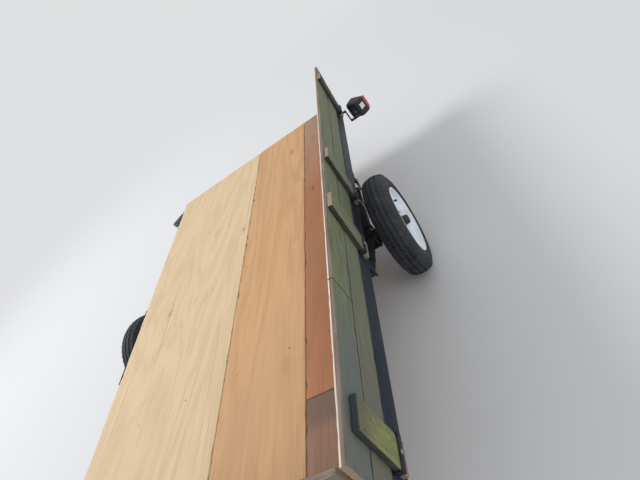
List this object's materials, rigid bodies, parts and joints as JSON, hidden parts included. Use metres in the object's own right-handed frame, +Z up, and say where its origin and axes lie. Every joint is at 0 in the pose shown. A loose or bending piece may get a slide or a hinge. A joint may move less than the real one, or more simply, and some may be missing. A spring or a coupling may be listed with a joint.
{
  "type": "utility trailer",
  "caption": "Single-axle flatbed utility trailer: steel frame, plywood deck, one plank side, headboard, empty stake pockets, tongue with ball coupler and jack.",
  "frame": {"origin": "on the ground, under the middle of the overall box", "axes": "+X forward along the tongue, towards the coupler; +Y to the trailer's left; +Z up"},
  "size_m": [3.471, 1.6922, 0.7234],
  "materials": {
    "frame_paint": "black enamel, satin, worn at the edges",
    "spring_steel": "dark steel with light rust",
    "plywood_light": "bare plywood, pale",
    "plywood_orange": "bare plywood, orange brown",
    "plywood_strip": "bare plywood, brown",
    "treated_plank": "treated timber, weathered green grey",
    "weathered_plank": "treated timber, weathered grey",
    "stake_timber": "treated timber, yellow green",
    "zinc_plate": "dull zinc plate",
    "lever_steel": "black coated steel",
    "tyre_rubber": "black rubber, dusty",
    "rim_paint": "white enamel, slightly stained",
    "hub_iron": "dark iron with grease and dust",
    "nut_steel": "dull steel",
    "lamp_black": "black plastic, matte",
    "lens_red": "red plastic, glossy",
    "lens_clear": "clear plastic, glossy"
  },
  "bodies": {
    "trailer": {"rail_left": "frame_paint", "rail_right": "frame_paint", "cross_member_front": "frame_paint", "cross_member_rear": "frame_paint", "cross_members_middle": "frame_paint", "stake_pockets_left": "frame_paint", "stake_pockets_right": "frame_paint", "stake_pockets_front": "frame_paint", "tongue": "frame_paint", "tongue_braces": "frame_paint", "axle": "frame_paint", "spring_hangers": "frame_paint", "lamp_brackets": "frame_paint", "leaf_springs": "spring_steel", "shackles": "spring_steel", "axle_clamps": "spring_steel", "deck_sheet_right": "plywood_light", "deck_sheet_middle": "plywood_orange", "deck_sheet_left": "plywood_strip", "deck_patch_left": "plywood_strip", "side_plank_lower": "treated_plank", "side_plank_upper_rear": "treated_plank", "headboard_plank_lower": "treated_plank", "headboard_plank_upper": "treated_plank", "side_plank_upper_front": "weathered_plank", "side_stakes": "stake_timber", "headboard_stakes": "stake_timber", "coupler": "zinc_plate", "jack_tube": "zinc_plate", "jack_bracket": "zinc_plate", "coupler_lever": "lever_steel", "jack_crank": "lever_steel", "lamp_housings": "lamp_black", "lamp_lenses": "lens_red", "lamp_windows": "lens_clear"},
    "wheel_left": {"tyre_left": "tyre_rubber", "rim_left": "rim_paint", "hub_left": "hub_iron", "lug_nuts_left": "nut_steel"},
    "wheel_right": {"tyre_right": "tyre_rubber", "rim_right": "rim_paint", "hub_right": "hub_iron", "lug_nuts_right": "nut_steel"},
    "jack_foot": {"jack_leg": "zinc_plate"}
  },
  "joints": [
    {"name": "wheel_left_spin", "type": "hinge", "parent": "trailer", "child": "wheel_left", "pos_m": [-0.4705, 0.768, 0.25], "axis": [0, 1, 0], "continuous": true},
    {"name": "wheel_right_spin", "type": "hinge", "parent": "trailer", "child": "wheel_right", "pos_m": [-0.4705, -0.768, 0.25], "axis": [0, 1, 0], "continuous": true},
    {"name": "jack_slide", "type": "slide", "parent": "trailer", "child": "jack_foot", "axis": [0, 0, 1], "range_m": [0, 0.17]}
  ]
}
